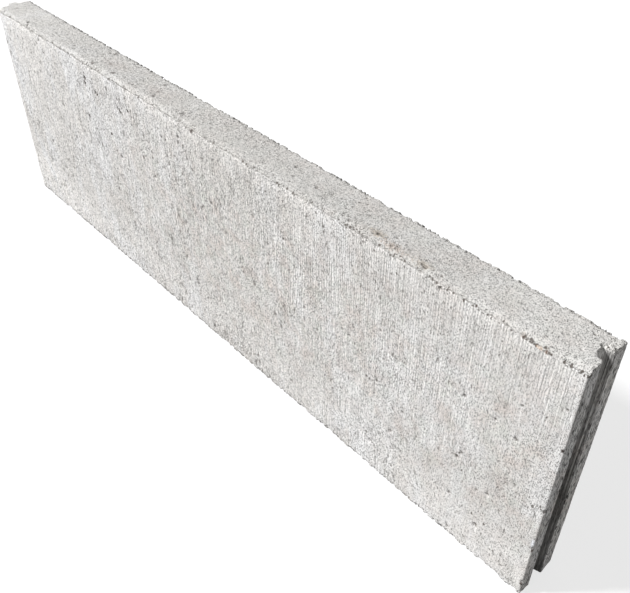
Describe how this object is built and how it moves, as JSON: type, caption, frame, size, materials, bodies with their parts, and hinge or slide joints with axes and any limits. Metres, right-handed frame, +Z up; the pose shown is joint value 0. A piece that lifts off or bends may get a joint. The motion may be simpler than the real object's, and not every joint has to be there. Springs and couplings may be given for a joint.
{
  "type": "concrete kerb stone",
  "caption": "Solid pressed-concrete edging kerb with a chamfered front top edge, an upright tongue on one end and a matching groove in the other.",
  "frame": {"origin": "centre of the base, midway between the shoulders of the two ends; the tongue reaches past -X by its own length", "axes": "+X along the row from the tongue end to the groove end, +Y from the front face to the back face, +Z up"},
  "size_m": [1.009, 0.05, 0.3],
  "materials": {
    "concrete": "matt, fine-pored, drag-lined on the sides"
  },
  "bodies": {
    "root": {"kerb_stone": "concrete"}
  },
  "joints": []
}
